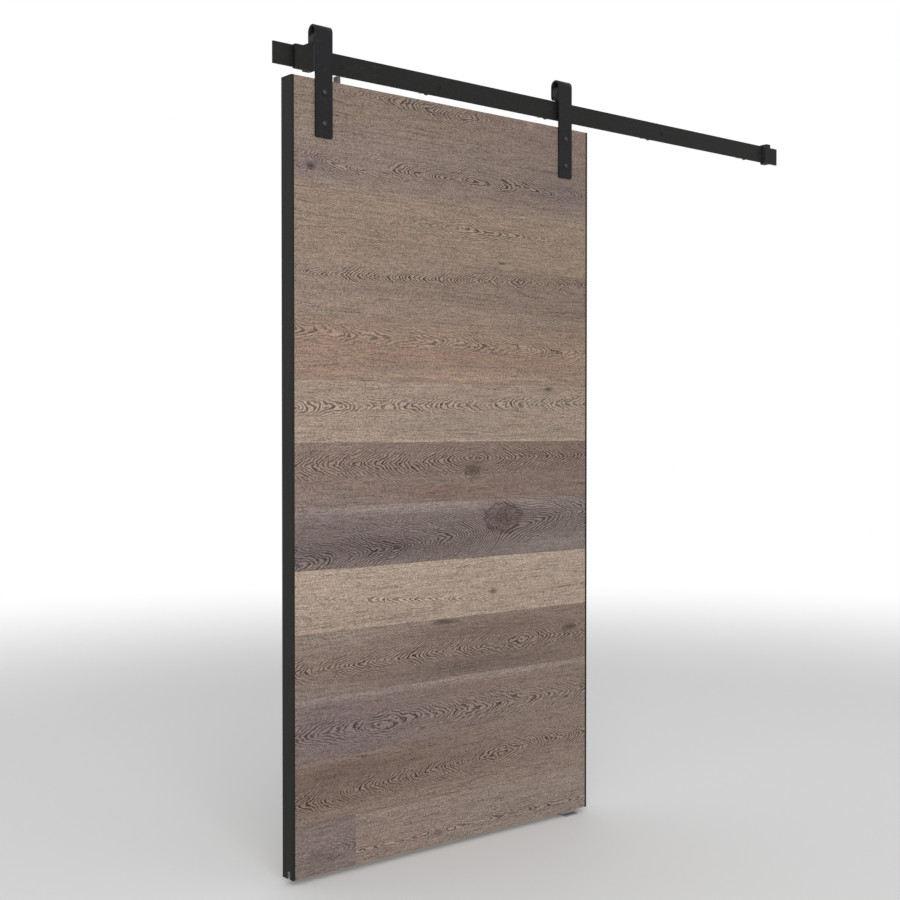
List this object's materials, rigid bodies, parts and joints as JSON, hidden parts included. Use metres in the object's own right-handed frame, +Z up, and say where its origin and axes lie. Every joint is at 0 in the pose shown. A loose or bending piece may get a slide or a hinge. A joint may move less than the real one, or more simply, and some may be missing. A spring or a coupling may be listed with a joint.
{
  "type": "sliding barn door",
  "caption": "Sliding plank-faced barn door leaf on strap hangers with its flat bar rail, end stops, wheels and floor guide.",
  "frame": {"origin": "on the wall's face at the rail's middle wall bolt, at the rail's middle height", "axes": "+X right along the wall, +Y into the wall, +Z up; the door opens towards +X"},
  "size_m": [2.144, 0.1219, 2.323],
  "materials": {
    "black_steel": "satin black coat",
    "wheel_steel": "satin black coat",
    "bare_steel": "turned, satin",
    "pad_rubber": "matte",
    "block_plastic": "matte",
    "aluminium": "extruded, satin",
    "core_wood": "sawn, unfinished",
    "back_wood": "matte weathered grey-brown",
    "front_bottom_board_left_wood": "matte weathered grey-brown grain",
    "front_bottom_board_right_wood": "matte weathered grey-brown grain",
    "front_board_1_wood": "matte weathered grey-brown grain",
    "front_board_2_wood": "matte weathered grey-brown grain",
    "front_board_3_wood": "matte weathered grey-brown grain",
    "front_board_4_wood": "matte weathered grey-brown grain",
    "front_board_5_wood": "matte weathered grey-brown grain",
    "front_board_6_wood": "matte weathered grey-brown grain",
    "front_board_7_wood": "matte weathered grey-brown grain",
    "front_board_8_wood": "matte weathered grey-brown grain",
    "front_board_9_wood": "matte weathered grey-brown grain",
    "front_board_10_wood": "matte weathered grey-brown grain",
    "front_board_11_wood": "matte weathered grey-brown grain",
    "front_board_12_wood": "matte weathered grey-brown grain"
  },
  "bodies": {
    "track": {"rail": "black_steel", "rail_standoff_1": "black_steel", "rail_standoff_2": "black_steel", "rail_standoff_3": "black_steel", "rail_standoff_4": "black_steel", "rail_standoff_5": "black_steel", "wall_bolts": "black_steel", "end_stop_left": "black_steel", "end_stop_right": "black_steel", "stop_pad_left": "pad_rubber", "stop_pad_right": "pad_rubber", "stop_grub_screws": "black_steel", "floor_guide": "bare_steel", "floor_guide_screws": "bare_steel"},
    "door": {"leaf_core": "core_wood", "front_bottom_board_left": "front_bottom_board_left_wood", "front_bottom_board_right": "front_bottom_board_right_wood", "front_board_1": "front_board_1_wood", "front_board_2": "front_board_2_wood", "front_board_3": "front_board_3_wood", "front_board_4": "front_board_4_wood", "front_board_5": "front_board_5_wood", "front_board_6": "front_board_6_wood", "front_board_7": "front_board_7_wood", "front_board_8": "front_board_8_wood", "front_board_9": "front_board_9_wood", "front_board_10": "front_board_10_wood", "front_board_11": "front_board_11_wood", "front_board_12": "front_board_12_wood", "back_bottom_board": "back_wood", "back_board_1": "back_wood", "back_board_2": "back_wood", "back_board_3": "back_wood", "back_board_4": "back_wood", "back_board_5": "back_wood", "back_board_6": "back_wood", "back_board_7": "back_wood", "back_board_8": "back_wood", "back_board_9": "back_wood", "back_board_10": "back_wood", "back_board_11": "back_wood", "back_board_12": "back_wood", "edge_strip_left": "black_steel", "edge_strip_right": "black_steel", "guide_channel": "aluminium", "hanger_strap_left": "black_steel", "hanger_strap_right": "black_steel", "strap_bolts": "black_steel", "strap_sleeve_nuts": "black_steel", "axle_bolts": "black_steel", "axle_spacers": "bare_steel", "axle_nuts": "black_steel", "anti_jump_left": "block_plastic", "anti_jump_right": "block_plastic", "anti_jump_screws": "black_steel"},
    "wheel_left": {"wheel_left": "wheel_steel", "bearing_left": "bare_steel"},
    "wheel_right": {"wheel_right": "wheel_steel", "bearing_right": "bare_steel"}
  },
  "joints": [
    {"name": "door_slide", "type": "slide", "parent": "track", "child": "door", "axis": [1, 0, 0], "range_m": [0, 0.98]},
    {"name": "wheel_left_turn", "type": "hinge", "parent": "door", "child": "wheel_left", "pos_m": [-0.8925, -0.063, 0.0543], "axis": [0, 1, 0], "continuous": true},
    {"name": "wheel_right_turn", "type": "hinge", "parent": "door", "child": "wheel_right", "pos_m": [0.0118, -0.063, 0.0543], "axis": [0, 1, 0], "continuous": true}
  ],
  "couplings": [
    {"joint": "wheel_left_turn", "follows": "door_slide", "rad_per_m": 40},
    {"joint": "wheel_right_turn", "follows": "door_slide", "rad_per_m": 40}
  ]
}
